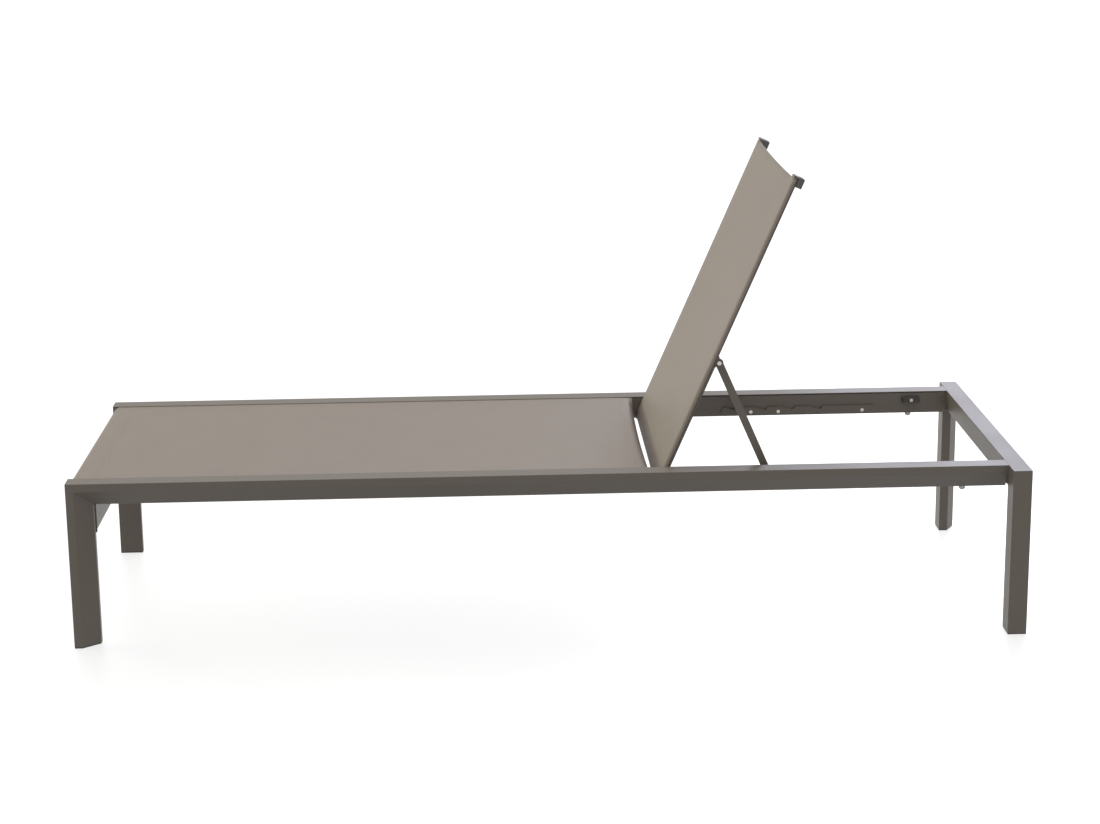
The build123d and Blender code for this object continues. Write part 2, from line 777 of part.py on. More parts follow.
def prop():
    """The prop between the back and the racks."""
    save_pair("prop_leg", prop_place * prop_leg())
    save("prop_bar", prop_place * prop_bar())
    save_pair("prop_sleeve", prop_place * prop_sleeve())


os.makedirs("parts", exist_ok=True)
frame()
mechanism()
backrest()
prop()
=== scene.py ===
import json
import math

import bpy
from mathutils import Matrix, Vector, noise


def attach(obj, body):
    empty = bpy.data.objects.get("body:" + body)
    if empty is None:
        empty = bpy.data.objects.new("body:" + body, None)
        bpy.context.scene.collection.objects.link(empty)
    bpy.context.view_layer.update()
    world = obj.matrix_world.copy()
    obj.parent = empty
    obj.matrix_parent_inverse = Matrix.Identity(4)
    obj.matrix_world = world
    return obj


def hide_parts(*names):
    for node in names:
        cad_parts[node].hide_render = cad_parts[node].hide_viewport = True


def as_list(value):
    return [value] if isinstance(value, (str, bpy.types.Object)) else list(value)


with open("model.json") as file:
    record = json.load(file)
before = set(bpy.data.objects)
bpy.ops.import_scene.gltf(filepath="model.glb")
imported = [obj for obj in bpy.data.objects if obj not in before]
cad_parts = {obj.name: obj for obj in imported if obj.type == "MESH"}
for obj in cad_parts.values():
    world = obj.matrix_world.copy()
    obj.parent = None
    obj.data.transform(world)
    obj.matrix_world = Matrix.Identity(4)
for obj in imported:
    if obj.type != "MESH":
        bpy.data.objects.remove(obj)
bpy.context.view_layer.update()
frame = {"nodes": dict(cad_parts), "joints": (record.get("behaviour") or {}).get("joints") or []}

# Sun lounger: powder-coated aluminium frame, mesh sling seat, mesh sling back held up by a notched prop.
# Blender works in metres and radians. In the settings, lengths are millimetres, and names in Deg are degrees.

mm = 0.001
scene = bpy.context.scene
scene.view_settings.view_transform = "Standard"

# where things are, read from the frame
recline = [joint for joint in frame["joints"] if joint["name"] == "back_recline"][0]
raisedDeg = recline["range_deg"][1]
backPlace = Matrix.Translation(recline["pos_m"]) @ Matrix.Rotation(-math.radians(raisedDeg), 4, "Y")
seatPlace = Matrix.Identity(4)


def spanOf(nodeName, place):
    # lowest and highest corner of a CAD node, in the axes of the seat or of the back
    toPlace = place.inverted()
    points = [toPlace @ v.co for v in frame["nodes"][nodeName].data.vertices]
    low = Vector([min(p[i] for p in points) for i in range(3)])
    high = Vector([max(p[i] for p in points) for i in range(3)])
    return low, high


print("frame read: back raised to", round(raisedDeg, 1), "degrees")


# helpers for materials

def linearColour(hexText):
    # sRGB hex to the linear values that shaders take
    parts = [int(hexText[i:i + 2], 16) / 255 for i in (1, 3, 5)]
    return [c / 12.92 if c <= 0.04045 else ((c + 0.055) / 1.055) ** 2.4 for c in parts] + [1.0]


def addNode(tree, kind, inputs=None, **settings):
    # adds one node; an input takes a value or another node's output
    node = tree.nodes.new(kind)
    for name, value in settings.items():
        setattr(node, name, value)
    for name, value in (inputs or {}).items():
        if isinstance(value, bpy.types.NodeSocket):
            tree.links.new(value, node.inputs[name])
        else:
            node.inputs[name].default_value = value
    return node


def emptyMaterial(name):
    material = bpy.data.materials.new(name)
    material.use_nodes = True
    material.node_tree.nodes.clear()
    return material, material.node_tree


def perMetre(size):
    # texture scale that gives features of this size
    return 1 / (size * mm)


# materials

powderCoat = {
    "colour": "#6a625a",
    "paleColour": "#736b62",
    "cloud": 160,         # how far apart the paler and the darker places are
    # paler colour on the edges: partly the thinner coat, partly a painted highlight
    "edgeHighlightColour": "#8d857b",
    "edge": 1.2,          # how far in from an edge its colour reaches
    "edgeGain": 2.5,      # how soon it is reached in full
    "edgeSamples": 4,
    "roughness": (0.38, 0.5),
    "peel": 2.5,          # orange peel is nearer 0.8 mm, drawn coarser so that it shows
    "peelDepth": 0.03,
    "ior": 1.5,
}


def powderCoatedAluminium():
    # polyester powder baked on extrusions: even and satin, a faint orange peel; the edges are painted paler,
    # partly for the thinner coat there and partly as a painted highlight
    kit = powderCoat
    material, tree = emptyMaterial("powderCoatedAluminium")
    place = addNode(tree, "ShaderNodeTexCoord").outputs["Object"]
    cloud = addNode(tree, "ShaderNodeTexNoise", {
        "Vector": place, "Scale": perMetre(kit["cloud"]),
    }).outputs["Fac"]
    peel = addNode(tree, "ShaderNodeTexNoise", {
        "Vector": place, "Scale": perMetre(kit["peel"]),
    }).outputs["Fac"]
    body = addNode(tree, "ShaderNodeMixRGB", {
        "Fac": cloud, "Color1": linearColour(kit["colour"]), "Color2": linearColour(kit["paleColour"]),
    }).outputs["Color"]
    # the edges, found from a rounded normal, are painted paler: partly thin coat, partly a painted highlight
    rounded = addNode(tree, "ShaderNodeBevel", {
        "Radius": kit["edge"] * mm,
    }, samples=kit["edgeSamples"]).outputs["Normal"]
    sharp = addNode(tree, "ShaderNodeNewGeometry").outputs["Normal"]
    alike = addNode(tree, "ShaderNodeVectorMath", {
        0: rounded, 1: sharp,
    }, operation="DOT_PRODUCT").outputs["Value"]
    edge = addNode(tree, "ShaderNodeMapRange", {
        "Value": alike, "From Min": 1.0, "From Max": 1 - 1 / kit["edgeGain"], "To Min": 0.0, "To Max": 1.0,
    }).outputs["Result"]
    coloured = addNode(tree, "ShaderNodeMixRGB", {
        "Fac": edge, "Color1": body, "Color2": linearColour(kit["edgeHighlightColour"]),
    }).outputs["Color"]
    rough = addNode(tree, "ShaderNodeMapRange", {
        "Value": cloud, "To Min": kit["roughness"][0], "To Max": kit["roughness"][1],
    }).outputs["Result"]
    bump = addNode(tree, "ShaderNodeBump", {
        "Height": peel, "Distance": kit["peelDepth"] * mm,
    }).outputs["Normal"]
    shader = addNode(tree, "ShaderNodeBsdfPrincipled", {
        "Base Color": coloured, "Roughness": rough, "Normal": bump, "IOR": kit["ior"],
    }).outputs["BSDF"]
    addNode(tree, "ShaderNodeOutputMaterial", {"Surface": shader})
    return material


meshCloth = {
    "warpColour": "#a0948a",
    "weftColour": "#92867a",
    "pitch": 1.8,         # yarns are about 1.1 mm apart, drawn coarser so that they show
    "dipShare": 0.5,      # height of a yarn where it dips under another, as a share of its crown
    "valleyShadeShare": 0.62,  # painted shade: how much of its colour is left down between yarns
    "pitShadeShare": 0.15,     # and in the pits, which are painted shade in place of the open holes
    "pitReach": 0.5,      # how far each pit between four yarns reaches from its corner, from 0 to 2
    "depth": 0.25,
    "fade": 90,           # how far apart the more and the less faded places are
    "fadeShare": 0.05,
    "roughness": 0.5,
    "ior": 1.52,
}


def wovenPvcMesh():
    # polyester yarn coated with PVC and woven plain: round yarns over and under, darkened with painted shade
    # down between each other; the open holes between them are painted as small dark pits
    kit = meshCloth
    material, tree = emptyMaterial("wovenPvcMesh")
    place = addNode(tree, "ShaderNodeAttribute", attribute_name="clothPlace").outputs["Vector"]
    yarns = addNode(tree, "ShaderNodeVectorMath", {
        0: place, "Scale": perMetre(kit["pitch"]),
    }, operation="SCALE").outputs["Vector"]
    turns = addNode(tree, "ShaderNodeVectorMath", {
        0: yarns, "Scale": math.pi,
    }, operation="SCALE").outputs["Vector"]
    waves = addNode(tree, "ShaderNodeVectorMath", {0: turns}, operation="SINE").outputs["Vector"]
    rounds = addNode(tree, "ShaderNodeVectorMath", {0: waves}, operation="ABSOLUTE").outputs["Vector"]
    split = addNode(tree, "ShaderNodeSeparateXYZ", {"Vector": rounds})
    weft, warp = split.outputs["X"], split.outputs["Y"]
    over = addNode(tree, "ShaderNodeTexChecker", {"Vector": yarns, "Scale": 1.0}).outputs["Fac"]
    weftCrown = addNode(tree, "ShaderNodeMath", {
        0: warp, 1: 1 - kit["dipShare"], 2: kit["dipShare"],
    }, operation="MULTIPLY_ADD").outputs[0]
    warpCrown = addNode(tree, "ShaderNodeMath", {
        0: weft, 1: 1 - kit["dipShare"], 2: kit["dipShare"],
    }, operation="MULTIPLY_ADD").outputs[0]
    weftHeight = addNode(tree, "ShaderNodeMath", {0: weft, 1: weftCrown}, operation="MULTIPLY").outputs[0]
    warpHeight = addNode(tree, "ShaderNodeMath", {0: warp, 1: warpCrown}, operation="MULTIPLY").outputs[0]
    height = addNode(tree, "ShaderNodeMapRange", {
        "Value": over, "To Min": weftHeight, "To Max": warpHeight,
    }).outputs["Result"]
    both = addNode(tree, "ShaderNodeMath", {0: weft, 1: warp}, operation="ADD").outputs[0]
    onYarn = addNode(tree, "ShaderNodeMath", {
        0: both, 1: kit["pitReach"],
    }, operation="GREATER_THAN").outputs[0]
    # painted shade: the open holes between four yarns are painted nearly black instead of letting the view
    # through
    pit = addNode(tree, "ShaderNodeMapRange", {
        "Value": onYarn, "To Min": kit["pitShadeShare"], "To Max": 1.0,
    }).outputs["Result"]
    fade = addNode(tree, "ShaderNodeTexNoise", {
        "Vector": place, "Scale": perMetre(kit["fade"]),
    }).outputs["Fac"]
    yarnColour = addNode(tree, "ShaderNodeMixRGB", {
        "Fac": over, "Color1": linearColour(kit["weftColour"]), "Color2": linearColour(kit["warpColour"]),
    }).outputs["Color"]
    # painted shade: each yarn is darker down in its valleys than on its crown
    light = addNode(tree, "ShaderNodeMapRange", {
        "Value": height, "To Min": kit["valleyShadeShare"], "To Max": 1.0,
    }).outputs["Result"]
    tone = addNode(tree, "ShaderNodeMapRange", {
        "Value": fade, "To Min": 1 - kit["fadeShare"], "To Max": 1 + kit["fadeShare"],
    }).outputs["Result"]
    lit = addNode(tree, "ShaderNodeMath", {0: light, 1: tone}, operation="MULTIPLY").outputs[0]
    share = addNode(tree, "ShaderNodeMath", {0: lit, 1: pit}, operation="MULTIPLY").outputs[0]
    colour = addNode(tree, "ShaderNodeVectorMath", {
        0: yarnColour, "Scale": share,
    }, operation="SCALE").outputs["Vector"]
    bump = addNode(tree, "ShaderNodeBump", {
        "Height": height, "Distance": kit["depth"] * mm,
    }).outputs["Normal"]
    shader = addNode(tree, "ShaderNodeBsdfPrincipled", {
        "Base Color": colour, "Roughness": kit["roughness"], "Normal": bump, "IOR": kit["ior"],
    }).outputs["BSDF"]
    addNode(tree, "ShaderNodeOutputMaterial", {"Surface": shader})
    return material


def speckledFinish(title, colour, otherColour, grain, depth, stretch=(1, 1, 1), detail=3.0, **surface):
    # one body colour that drifts to another, with a grain in the surface
    material, tree = emptyMaterial(title)
    place = addNode(tree, "ShaderNodeTexCoord").outputs["Object"]
    pulled = addNode(tree, "ShaderNodeMapping", {"Vector": place, "Scale": stretch}).outputs["Vector"]
    speckles = addNode(tree, "ShaderNodeTexNoise", {
        "Vector": pulled, "Scale": perMetre(grain), "Detail": detail,
    }).outputs["Fac"]
    body = addNode(tree, "ShaderNodeMixRGB", {
        "Fac": speckles, "Color1": linearColour(colour), "Color2": linearColour(otherColour),
    }).outputs["Color"]
    bump = addNode(tree, "ShaderNodeBump", {"Height": speckles, "Distance": depth * mm}).outputs["Normal"]
    shader = addNode(tree, "ShaderNodeBsdfPrincipled", {"Base Color": body, "Normal": bump})
    for name, value in surface.items():
        shader.inputs[name.replace("_", " ")].default_value = value
    addNode(tree, "ShaderNodeOutputMaterial", {"Surface": shader.outputs["BSDF"]})
    return material


finishes = {
    "frame_aluminium": powderCoatedAluminium(),
    "sling_fabric": wovenPvcMesh(),
    # soft PVC drawn through a die: dull, with fine lines along it
    "welt_cord": speckledFinish(
        "extrudedPvcCord", "#6c645b", "#7a7168", grain=0.8, depth=0.02, stretch=(0.05, 1, 1),
        Roughness=0.55, IOR=1.53),
    # nylon out of an etched mould: near black, evenly grained
    "dark_nylon": speckledFinish(
        "mouldedNylon", "#262422", "#302e2b", grain=1.2, depth=0.04, Roughness=0.48, IOR=1.53),
    # unfilled nylon: milky, lets some light in
    "clear_nylon": speckledFinish(
        "naturalNylon", "#d8d4ca", "#e2dfd7", grain=1.5, depth=0.02,
        Roughness=0.36, IOR=1.53, Subsurface_Weight=0.25),
    # stainless bolts, turned: fine marks round the head
    "steel": speckledFinish(
        "turnedStainless", "#b5b3ae", "#c6c4c0", grain=0.7, depth=0.01, stretch=(1, 0.1, 1),
        Roughness=0.3, Metallic=1.0),
    # rivets, cold headed from drawn wire: soft, slightly dull
    "rivet_aluminium": speckledFinish(
        "drawnAluminium", "#a3a19d", "#b3b1ad", grain=0.9, depth=0.02, Roughness=0.4, Metallic=1.0),
}
# bonded polyester thread, twisted: the cloth's own colour and a little hairy
sewingThread = speckledFinish(
    "twistedPolyesterThread", "#a89e94", "#9b9187", grain=0.5, depth=0.05,
    Roughness=0.7, IOR=1.5, Sheen_Weight=0.2)
# the stiles' caps are moulded in the frame's grey, not black
capNylon = speckledFinish(
    "greyMouldedNylon", "#575550", "#615e59", grain=1.2, depth=0.04, Roughness=0.45, IOR=1.53)
for name, node in frame["nodes"].items():
    for materialSlot in node.material_slots:
        capped = name.startswith(("stile_cap", "stile_foot_cap"))
        materialSlot.material = capNylon if capped else finishes[materialSlot.material.name]
print("materials made for", len(frame["nodes"]), "nodes")


# helpers for meshes

def addMesh(name, points, faces, material, body, sharpDeg=None):
    mesh = bpy.data.meshes.new(name)
    mesh.from_pydata(points, [], faces)
    mesh.materials.append(material)
    mesh.polygons.foreach_set("use_smooth", [True] * len(mesh.polygons))
    if sharpDeg:
        mesh.set_sharp_from_angle(angle=math.radians(sharpDeg))
    piece = bpy.data.objects.new(name, mesh)
    scene.collection.objects.link(piece)
    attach(piece, body)
    return piece


def lineStretch(start, end, step):
    # points from start up to, but not including, end
    count = max(1, round((end - start).length / step))
    return [start.lerp(end, i / count) for i in range(count)]


def arcStretch(centre, radius, startDeg, endDeg, stepDeg=12):
    # the same along an arc
    count = max(3, round(abs(endDeg - startDeg) / stepDeg))
    angles = [math.radians(startDeg + (endDeg - startDeg) * i / count) for i in range(count)]
    return [centre + radius * Vector((math.cos(a), math.sin(a))) for a in angles]


def runLengths(points):
    # how far along the line each of its points lies
    runs = [0.0]
    for first, second in zip(points, points[1:]):
        runs.append(runs[-1] + (second - first).length)
    return runs


def eased(value):
    # from 0 to 1 and no further, level at both ends
    share = min(max(value, 0), 1)
    return share * share * (3 - 2 * share)


# the two slings

sideGap = 1 * mm  # between the folded ends of the cloth and what stands beside them

seatSling = {
    "name": "seatCloth",
    "replaces": "seat_sling",
    "body": "frame",
    "bar": "foot_crossbar",
    "welt": "seat_welt_left",
    "member": "rail_left",
    "beside": "rail_left",     # what the pocket ends beside
    "endsAt": "seat_sling",
    "reach": 4,                # how far its free end stands out past the high end of that node
    "sagsTo": None,            # its sag runs on to the free end
    "restsOn": ["rail_left", "rail_right", "foot_crossbar"],
    "thickness": 0.9,
    "layerGap": 0.1,           # between two layers of cloth, and between cloth and frame
    "step": 12,                # spacing of the mesh's rows on the flat
    "fineStep": 3,             # and on the slope
    "pocketFlap": 45,          # how far past the bar's middle the pocket is sewn down
    "rollRadius": 15,          # the bend at the free end
    "rollDeg": 66,
    "slope": 17,               # straight stretch below the bend, down to the fold
    "foldStepDeg": 30,         # of the tight folds of the hem and of the groove's lip
    "hem": 20,
    "holdWidth": 28,           # how far in from the members the welts hold the bent end up
    "memberCorner": 0,         # the cloth goes straight into the rail's inner side
    "wrapDeg": 300,            # how far it goes round the welt
    "wrapSteps": 14,
    "edgeStart": 1.5,          # where the sewn-back edge starts, out from the member's inner side
    "edgeFlap": 11,            # and how far in it reaches
    "sag": 3,                  # in the middle of the cloth
    "endSag": 4.5,             # how far the middle of the free end is drawn in
    "easeLength": 120,         # over this length before the end
    "ripple": 0.5,
    "rippleLength": 140,
}
backSling = {
    **seatSling,
    "name": "backCloth",
    "replaces": "back_sling",
    "body": "backrest",
    "bar": "back_lower_bar",
    "welt": "back_welt_left",
    "member": "stile_left",
    "beside": "hinge_plate_left",
    "endsAt": "back_welt_left",
    "reach": 0,
    "sagsTo": "back_top_bar",  # the cloth lies on this bar
    "restsOn": ["stile_left", "stile_right", "back_lower_bar"],
    "rollRadius": 1,
    "rollDeg": 0,
    "slope": 0,
    "hem": 30,
    "memberCorner": 5,         # it covers the stiles, round this corner and into their outer sides
    "sag": 5,
    "endSag": 3,
    "easeLength": 160,
}


def measureSling(kit, place):
    # what the cloth is fitted to, seen from its own frame's middle
    lift = (kit["layerGap"] + kit["thickness"] / 2) * mm
    barLow, barHigh = spanOf(kit["bar"], place)
    weltLow, weltHigh = spanOf(kit["welt"], place)
    memberLow, memberHigh = spanOf(kit["member"], place)
    weltMiddle = (weltLow + weltHigh) / 2
    ringRadius = (weltHigh.z - weltLow.z) / 2 + lift
    barRadius = (barHigh.z - barLow.z) / 2 + lift
    height = memberHigh.z + lift if kit["memberCorner"] else weltMiddle.z + ringRadius
    return {
        "lift": lift,
        "layer": (kit["thickness"] + kit["layerGap"]) * mm,
        "height": height,
        "bar": Vector(((barLow.x + barHigh.x) / 2, height - barRadius)),
        "barRadius": barRadius,
        "welt": Vector((-weltMiddle.y, weltMiddle.z - height)),
        "ringRadius": ringRadius,
        "faceHalf": -memberHigh.y,
        "memberHalf": -memberLow.y,
        "pocketHalf": -spanOf(kit["beside"], place)[1].y - sideGap,
        "freeEnd": spanOf(kit["endsAt"], place)[1].x + kit["reach"] * mm,
    }


def slingProfile(kit, fit):
    # the cloth's middle line from the side: flap, pocket round the bar, flat, free end, hem folded under
    step, fineStep = kit["step"] * mm, kit["fineStep"] * mm
    bar, barRadius, layer = fit["bar"], fit["barRadius"], fit["layer"]
    flapEnd = Vector((bar.x + kit["pocketFlap"] * mm, fit["height"] - layer))
    reach = (flapEnd - bar).length
    leave = math.atan2(flapEnd.y - bar.y, flapEnd.x - bar.x) - math.acos(barRadius / reach)
    tangent = bar + barRadius * Vector((math.cos(leave), math.sin(leave)))
    topDeg = 90
    points = lineStretch(flapEnd, tangent, step)
    points += arcStretch(bar, barRadius, math.degrees(leave), topDeg - 360)
    firstFlat = len(points)
    rollRadius, rollDeg = kit["rollRadius"] * mm, kit["rollDeg"]
    outward = Vector((math.sin(math.radians(rollDeg)), math.cos(math.radians(rollDeg))))
    slope = Vector((outward.y, -outward.x)) * kit["slope"] * mm
    rollStart = Vector((fit["freeEnd"] - rollRadius * outward.x - slope.x, fit["height"]))
    points += lineStretch(Vector((bar.x, fit["height"])), rollStart, step)
    lastFlat = len(points)
    centre = rollStart - Vector((0, rollRadius))
    slopeStart = centre + outward * rollRadius
    underStart = slopeStart - outward * layer
    bent, under = [rollStart], []
    if rollDeg:
        bent = arcStretch(centre, rollRadius, topDeg, topDeg - rollDeg)
        bent += lineStretch(slopeStart, slopeStart + slope, fineStep)
        under = lineStretch(underStart + slope, underStart, fineStep)
        under += arcStretch(centre, rollRadius - layer, topDeg - rollDeg, topDeg)
    foldCentre = slopeStart + slope - outward * layer / 2
    fold = arcStretch(foldCentre, layer / 2, topDeg - rollDeg, -topDeg - rollDeg, kit["foldStepDeg"])
    hemStart = rollStart - Vector((0, layer))
    hemEnd = hemStart - Vector((kit["hem"] * mm, 0))
    points += bent + fold + under + lineStretch(hemStart, hemEnd, step) + [hemEnd]
    return points, firstFlat, lastFlat, bent


def edgeLine(kit, fit):
    # half of the cloth seen from its end, y and z from its middle: flat, to the groove, round the welt
    lift, faceHalf, memberHalf = fit["lift"], fit["faceHalf"], fit["memberHalf"]
    welt, ringRadius = fit["welt"], fit["ringRadius"]
    count = round(fit["pocketHalf"] / (kit["step"] * mm))
    points = [Vector((fit["pocketHalf"] * i / count, 0)) for i in range(count + 1)]
    points.append(Vector((faceHalf, 0)))
    if kit["memberCorner"]:
        # over the member's face and round corner, down its outer side and back in under the groove's lip
        cornerRadius = kit["memberCorner"] * mm + lift
        side = memberHalf + lift
        lip = Vector((memberHalf, welt.y - ringRadius + lift))
        points += arcStretch(Vector((side - cornerRadius, -cornerRadius)), cornerRadius, 90, 0)
        points.append(Vector((side, -cornerRadius)))
        points += arcStretch(lip, lift, 0, -90, kit["foldStepDeg"])
        points.append(Vector((lip.x, lip.y - lift)))
        touchDeg = -90
    else:
        points.append(Vector(((faceHalf + welt.x) / 2, 0)))
        touchDeg = 90
    wrapStepDeg = kit["wrapDeg"] / kit["wrapSteps"]
    return points + arcStretch(welt, ringRadius, touchDeg, touchDeg - kit["wrapDeg"], wrapStepDeg)


def dropAt(bent, x):
    # how far the bent free end lies below the flat cloth at this place
    for first, second in zip(bent, bent[1:]):
        if first.x <= x < second.x:
            return bent[0].y - first.lerp(second, (x - first.x) / (second.x - first.x)).y
    return bent[0].y - bent[-1].y if x >= bent[-1].x else 0.0


def clothShape(kit, place, fit, start, end, bent):
    # gives a function that puts one point of the cloth in its place, with its sag and its hollow free end
    faceHalf = fit["faceHalf"]
    sagEnd = spanOf(kit["sagsTo"], place)[0].x if kit["sagsTo"] else end

    def placed(point, y, drop=0.0):
        across = min(abs(y) / faceHalf, 1)
        along = min(max((point.x - start) / (sagEnd - start), 0), 1)
        hollow = 1 - across * across
        belly = 4 * along * (1 - along)
        nearEnd = eased((point.x - end) / (kit["easeLength"] * mm) + 1)
        x = point.x - kit["endSag"] * mm * hollow * nearEnd
        z = point.y + drop - kit["sag"] * mm * hollow * belly
        # the welts hold the bent end up beside the members
        z += dropAt(bent, point.x) * eased((abs(y) - faceHalf) / (kit["holdWidth"] * mm) + 1)
        ripple = noise.noise(Vector((point.x, y, 0)) / (kit["rippleLength"] * mm))
        z += kit["ripple"] * mm * ripple * (1 - across ** 4) * belly
        return place @ Vector((x, y, z))

    return placed


def makeSling(kit, place, fit):
    # a grid along the profile and across it; only the flat rows run on to the grooves and round the welts
    profile, firstFlat, lastFlat, bent = slingProfile(kit, fit)
    start, end = profile[firstFlat].x, profile[lastFlat].x
    placed = clothShape(kit, place, fit, start, end, bent)
    half = edgeLine(kit, fit)
    reaches, along = runLengths(half), runLengths(profile)
    stations = [(t, p.x, p.y) for t, p in zip(reaches, half)]
    stations = [(-t, -y, drop) for t, y, drop in reversed(stations[1:])] + stations
    points, flatPlaces, index = [], [], {}
    for row, point in enumerate(profile):
        flatRow = firstFlat <= row <= lastFlat
        for column, (t, y, drop) in enumerate(stations):
            # pocket, bent end and hem stop short of the members
            if abs(t) < fit["pocketHalf"] + sideGap / 2 or flatRow:
                index[row, column] = len(points)
                points.append(placed(point, y, drop))
                flatPlaces.append((along[row], t, 0.0))
    corners = ((0, 0), (0, 1), (1, 1), (1, 0))
    faces = [[index[row + i, column + j] for i, j in corners]
             for row in range(len(profile) - 1) for column in range(len(stations) - 1)
             if all((row + i, column + j) in index for i, j in corners)]

    # the edge that was folded round the welt comes back under the cloth
    rows = [row for row in range(firstFlat, lastFlat)
            if start + kit["pocketFlap"] * mm < profile[row].x < end - kit["hem"] * mm]
    flap = kit["edgeFlap"] * mm
    faceHalf = fit["faceHalf"]
    flapAcross = [faceHalf + kit["edgeStart"] * mm, faceHalf - flap / 2, faceHalf - flap]
    wide = len(flapAcross)
    for side in (-1, 1):
        base = len(points)
        for row in rows:
            for y in flapAcross:
                points.append(placed(profile[row] - Vector((0, fit["layer"])), side * y))
                flatPlaces.append((along[row], side * (2 * reaches[-1] - y), 0.0))
        for row in range(len(rows) - 1):
            for column in range(wide - 1):
                corner = base + row * wide + column
                faces.append([corner, corner + 1, corner + wide + 1, corner + wide][::side])

    piece = addMesh(kit["name"], points, faces, finishes["sling_fabric"], kit["body"])
    piece.data.attributes.new("clothPlace", "FLOAT_VECTOR", "POINT").data.foreach_set(
        "vector", [c for p in flatPlaces for c in p])
    area = sum(face.area for face in piece.data.polygons)
    thick = piece.modifiers.new("thickness", "SOLIDIFY")
    thick.thickness = kit["thickness"] * mm
    thick.offset = 0
    solid = bpy.data.meshes.new_from_object(piece.evaluated_get(bpy.context.evaluated_depsgraph_get()))
    piece.modifiers.clear()
    piece.data = solid
    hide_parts(kit["replaces"])
    flatWidth = 2 * (reaches[-1] + flapAcross[0] - flapAcross[-1])
    return piece, placed, profile[-1].x, (flatWidth, along[-1]), area


seam = {
    "inset": 5,       # from the cut edge of the flap to the outer row
    "rows": 2,
    "rowGap": 6,
    "pitch": 5,       # from one stitch to the next
    "stitch": 3.6,
    "thread": 0.3,
    "sides": 5,
    # a stitch's rings: place along it as a share of its length, width and height as shares of the thread
    "ringShares": ((-0.5, 0.3, -0.4), (-0.25, 1.0, 0.5), (0.25, 1.0, 0.5), (0.5, 0.3, -0.4)),
}


def seamPlaces(kit, place, fit, placed, cutEdge, inward):
    # rows of stitches through the doubled cloth, seen on its face and on its underside
    lift = kit["thickness"] * mm / 2
    half = fit["pocketHalf"]
    across = place.to_3x3() @ Vector((0, 1, 0))
    up = (place.to_3x3() @ Vector((0, 0, 1))).normalized()
    count = int(2 * half / (seam["pitch"] * mm))
    places = []
    for row in range(seam["rows"]):
        x = cutEdge + inward * (seam["inset"] + row * seam["rowGap"]) * mm
        for i in range(count):
            y = -half + (i + 0.5) * 2 * half / count
            for side, drop in ((1, -lift), (-1, fit["layer"] + lift)):
                places.append((placed(Vector((x, fit["height"] - drop)), y), across, side * up))
    return places


def sewSeam(name, places, body):
    # one stitch at each place: a short thread, sunk at both ends
    rings, sides = seam["ringShares"], seam["sides"]
    stitch, thread = seam["stitch"] * mm, seam["thread"] * mm
    points, faces = [], []
    for centre, direction, up in places:
        side = direction.cross(up)
        base = len(points)
        for alongShare, widthShare, heightShare in rings:
            middle = centre + direction * (alongShare * stitch) + up * (heightShare * thread)
            for i in range(sides):
                turn = math.tau * i / sides
                points.append(middle + widthShare * thread * (math.cos(turn) * side + math.sin(turn) * up))
        for ring in range(len(rings) - 1):
            for i in range(sides):
                j = (i + 1) % sides
                low, high = base + ring * sides, base + (ring + 1) * sides
                faces.append([low + i, high + i, high + j, low + j])
        faces.append([base + i for i in range(sides)])
        faces.append([base + (len(rings) - 1) * sides + i for i in reversed(range(sides))])
    return addMesh(name, points, faces, sewingThread, body)


def dressSling(kit, place):
    fit = measureSling(kit, place)
    cloth, placed, hemEnd, flat, area = makeSling(kit, place, fit)
    seams = seamPlaces(kit, place, fit, placed, fit["bar"].x + kit["pocketFlap"] * mm, -1)
    seams += seamPlaces(kit, place, fit, placed, hemEnd, 1)
    stitches = sewSeam(kit["name"] + "Stitches", seams, kit["body"])
    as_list(kit["restsOn"])
    cut = [round(size, 3) for size in flat]
    print(kit["name"], "cut", cut, "area", round(area, 4), "stitches", len(seams))


dressSling(seatSling, seatPlace)
dressSling(backSling, backPlace)


# weld beads where the cross tubes meet what carries them

welds = {
    "leg": 2.6,         # how far a bead reaches along the tube and out over the wall
    "sunk": 0.4,        # how far it goes into both, so that no gap shows
    "flatness": 1.5,    # 1 gives a round bead, 2 a flat one
    "steps": 5,
    "scallop": 2.6,     # spacing of the ripples that each dip of the filler rod leaves
    "ripple": 0.3,
    "spacing": 0.6,     # of the bead's rings along it
    "corner": 1.2,      # of the square tubes
    "cornerSteps": 8,
    "bareDeg": 62,      # round bars that carry cloth are left bare this far each side of the top
    "endShare": 0.45,   # a bead that ends starts this thick and grows to its full size
    "taperRings": 4,    # over this many rings
    "sharpDeg": 50,
}


def tubeOutline(low, high, corner):
    # points and normals round a tube's section, from the middle of its top
    middle = (low + high) / 2
    corners = [(high.x, high.y, 90), (high.x, low.y, 0), (low.x, low.y, -90), (low.x, high.y, -180)]
    spots = [Vector((middle.x, high.y))]
    normals = [Vector((0, 1))]
    for x, y, startDeg in corners:
        centre = Vector((
            x - math.copysign(corner, x - middle.x), y - math.copysign(corner, y - middle.y)))
        for i in range(welds["cornerSteps"] + 1):
            angle = math.radians(startDeg - 90 * i / welds["cornerSteps"])
            normals.append(Vector((math.cos(angle), math.sin(angle))))
            spots.append(centre + corner * normals[-1])
    spots.append(spots[0])
    normals.append(normals[0])
    outline = []
    for i in range(len(spots) - 1):
        count = max(1, round((spots[i + 1] - spots[i]).length / (welds["spacing"] * mm)))
        for j in range(count):
            normal = normals[i].lerp(normals[i + 1], j / count).normalized()
            outline.append((spots[i].lerp(spots[i + 1], j / count), normal))
    return outline


def beadSection():
    # the bead cut across: how far each point lies out from the tube and in from the wall
    leg, sunk = welds["leg"] * mm, welds["sunk"] * mm
    section = [(-sunk, -sunk), (leg, -sunk)]
    for i in range(welds["steps"] + 1):
        turn = math.radians(90 * i / welds["steps"])
        section.append((leg * math.cos(turn) ** welds["flatness"], leg * math.sin(turn) ** welds["flatness"]))
    return section + [(-sunk, leg)]


